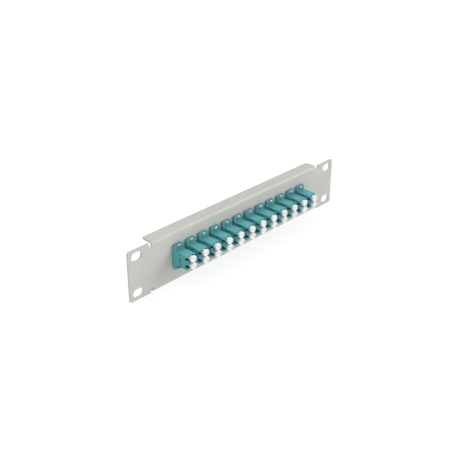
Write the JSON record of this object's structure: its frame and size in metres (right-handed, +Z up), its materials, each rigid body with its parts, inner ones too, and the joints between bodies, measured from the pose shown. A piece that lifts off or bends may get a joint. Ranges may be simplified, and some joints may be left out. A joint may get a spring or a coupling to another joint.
{
  "type": "fibre patch panel",
  "caption": "Ten-inch one-unit folded steel panel with a row of duplex fibre adapters, each screwed on and closed by push-in dust caps.",
  "frame": {"origin": "centre of the sheet's front face, midway between the four rack slots", "axes": "+X to the right seen from the front, +Y back into the rack, +Z up"},
  "size_m": [0.254, 0.0358, 0.044],
  "materials": {
    "painted_sheet": "light grey powder coat, fine and satin",
    "adapter_plastic": "aqua moulded plastic, satin",
    "cap_plastic": "white soft moulded plastic",
    "bright_steel": "bright zinc-plated steel",
    "ceramic_sleeve": "polished white ceramic"
  },
  "bodies": {
    "panel_assembly": {"panel": "painted_sheet", "front_housing_01": "adapter_plastic", "front_housing_02": "adapter_plastic", "front_housing_03": "adapter_plastic", "front_housing_04": "adapter_plastic", "front_housing_05": "adapter_plastic", "front_housing_06": "adapter_plastic", "front_housing_07": "adapter_plastic", "front_housing_08": "adapter_plastic", "front_housing_09": "adapter_plastic", "front_housing_10": "adapter_plastic", "front_housing_11": "adapter_plastic", "front_housing_12": "adapter_plastic", "rear_housing_01": "adapter_plastic", "rear_housing_02": "adapter_plastic", "rear_housing_03": "adapter_plastic", "rear_housing_04": "adapter_plastic", "rear_housing_05": "adapter_plastic", "rear_housing_06": "adapter_plastic", "rear_housing_07": "adapter_plastic", "rear_housing_08": "adapter_plastic", "rear_housing_09": "adapter_plastic", "rear_housing_10": "adapter_plastic", "rear_housing_11": "adapter_plastic", "rear_housing_12": "adapter_plastic", "alignment_sleeves": "ceramic_sleeve", "flange_screws": "bright_steel", "flange_nuts": "bright_steel", "rear_caps": "cap_plastic"},
    "cap_01_upper": {"front_cap_01_upper": "cap_plastic"},
    "cap_01_lower": {"front_cap_01_lower": "cap_plastic"},
    "cap_02_upper": {"front_cap_02_upper": "cap_plastic"},
    "cap_02_lower": {"front_cap_02_lower": "cap_plastic"},
    "cap_03_upper": {"front_cap_03_upper": "cap_plastic"},
    "cap_03_lower": {"front_cap_03_lower": "cap_plastic"},
    "cap_04_upper": {"front_cap_04_upper": "cap_plastic"},
    "cap_04_lower": {"front_cap_04_lower": "cap_plastic"},
    "cap_05_upper": {"front_cap_05_upper": "cap_plastic"},
    "cap_05_lower": {"front_cap_05_lower": "cap_plastic"},
    "cap_06_upper": {"front_cap_06_upper": "cap_plastic"},
    "cap_06_lower": {"front_cap_06_lower": "cap_plastic"},
    "cap_07_upper": {"front_cap_07_upper": "cap_plastic"},
    "cap_07_lower": {"front_cap_07_lower": "cap_plastic"},
    "cap_08_upper": {"front_cap_08_upper": "cap_plastic"},
    "cap_08_lower": {"front_cap_08_lower": "cap_plastic"},
    "cap_09_upper": {"front_cap_09_upper": "cap_plastic"},
    "cap_09_lower": {"front_cap_09_lower": "cap_plastic"},
    "cap_10_upper": {"front_cap_10_upper": "cap_plastic"},
    "cap_10_lower": {"front_cap_10_lower": "cap_plastic"},
    "cap_11_upper": {"front_cap_11_upper": "cap_plastic"},
    "cap_11_lower": {"front_cap_11_lower": "cap_plastic"},
    "cap_12_upper": {"front_cap_12_upper": "cap_plastic"},
    "cap_12_lower": {"front_cap_12_lower": "cap_plastic"}
  },
  "joints": [
    {"name": "pull_cap_01_upper", "type": "slide", "parent": "panel_assembly", "child": "cap_01_upper", "axis": [0, -1, 0], "range_m": [0, 0.014]},
    {"name": "pull_cap_01_lower", "type": "slide", "parent": "panel_assembly", "child": "cap_01_lower", "axis": [0, -1, 0], "range_m": [0, 0.014]},
    {"name": "pull_cap_02_upper", "type": "slide", "parent": "panel_assembly", "child": "cap_02_upper", "axis": [0, -1, 0], "range_m": [0, 0.014]},
    {"name": "pull_cap_02_lower", "type": "slide", "parent": "panel_assembly", "child": "cap_02_lower", "axis": [0, -1, 0], "range_m": [0, 0.014]},
    {"name": "pull_cap_03_upper", "type": "slide", "parent": "panel_assembly", "child": "cap_03_upper", "axis": [0, -1, 0], "range_m": [0, 0.014]},
    {"name": "pull_cap_03_lower", "type": "slide", "parent": "panel_assembly", "child": "cap_03_lower", "axis": [0, -1, 0], "range_m": [0, 0.014]},
    {"name": "pull_cap_04_upper", "type": "slide", "parent": "panel_assembly", "child": "cap_04_upper", "axis": [0, -1, 0], "range_m": [0, 0.014]},
    {"name": "pull_cap_04_lower", "type": "slide", "parent": "panel_assembly", "child": "cap_04_lower", "axis": [0, -1, 0], "range_m": [0, 0.014]},
    {"name": "pull_cap_05_upper", "type": "slide", "parent": "panel_assembly", "child": "cap_05_upper", "axis": [0, -1, 0], "range_m": [0, 0.014]},
    {"name": "pull_cap_05_lower", "type": "slide", "parent": "panel_assembly", "child": "cap_05_lower", "axis": [0, -1, 0], "range_m": [0, 0.014]},
    {"name": "pull_cap_06_upper", "type": "slide", "parent": "panel_assembly", "child": "cap_06_upper", "axis": [0, -1, 0], "range_m": [0, 0.014]},
    {"name": "pull_cap_06_lower", "type": "slide", "parent": "panel_assembly", "child": "cap_06_lower", "axis": [0, -1, 0], "range_m": [0, 0.014]},
    {"name": "pull_cap_07_upper", "type": "slide", "parent": "panel_assembly", "child": "cap_07_upper", "axis": [0, -1, 0], "range_m": [0, 0.014]},
    {"name": "pull_cap_07_lower", "type": "slide", "parent": "panel_assembly", "child": "cap_07_lower", "axis": [0, -1, 0], "range_m": [0, 0.014]},
    {"name": "pull_cap_08_upper", "type": "slide", "parent": "panel_assembly", "child": "cap_08_upper", "axis": [0, -1, 0], "range_m": [0, 0.014]},
    {"name": "pull_cap_08_lower", "type": "slide", "parent": "panel_assembly", "child": "cap_08_lower", "axis": [0, -1, 0], "range_m": [0, 0.014]},
    {"name": "pull_cap_09_upper", "type": "slide", "parent": "panel_assembly", "child": "cap_09_upper", "axis": [0, -1, 0], "range_m": [0, 0.014]},
    {"name": "pull_cap_09_lower", "type": "slide", "parent": "panel_assembly", "child": "cap_09_lower", "axis": [0, -1, 0], "range_m": [0, 0.014]},
    {"name": "pull_cap_10_upper", "type": "slide", "parent": "panel_assembly", "child": "cap_10_upper", "axis": [0, -1, 0], "range_m": [0, 0.014]},
    {"name": "pull_cap_10_lower", "type": "slide", "parent": "panel_assembly", "child": "cap_10_lower", "axis": [0, -1, 0], "range_m": [0, 0.014]},
    {"name": "pull_cap_11_upper", "type": "slide", "parent": "panel_assembly", "child": "cap_11_upper", "axis": [0, -1, 0], "range_m": [0, 0.014]},
    {"name": "pull_cap_11_lower", "type": "slide", "parent": "panel_assembly", "child": "cap_11_lower", "axis": [0, -1, 0], "range_m": [0, 0.014]},
    {"name": "pull_cap_12_upper", "type": "slide", "parent": "panel_assembly", "child": "cap_12_upper", "axis": [0, -1, 0], "range_m": [0, 0.014]},
    {"name": "pull_cap_12_lower", "type": "slide", "parent": "panel_assembly", "child": "cap_12_lower", "axis": [0, -1, 0], "range_m": [0, 0.014]}
  ]
}
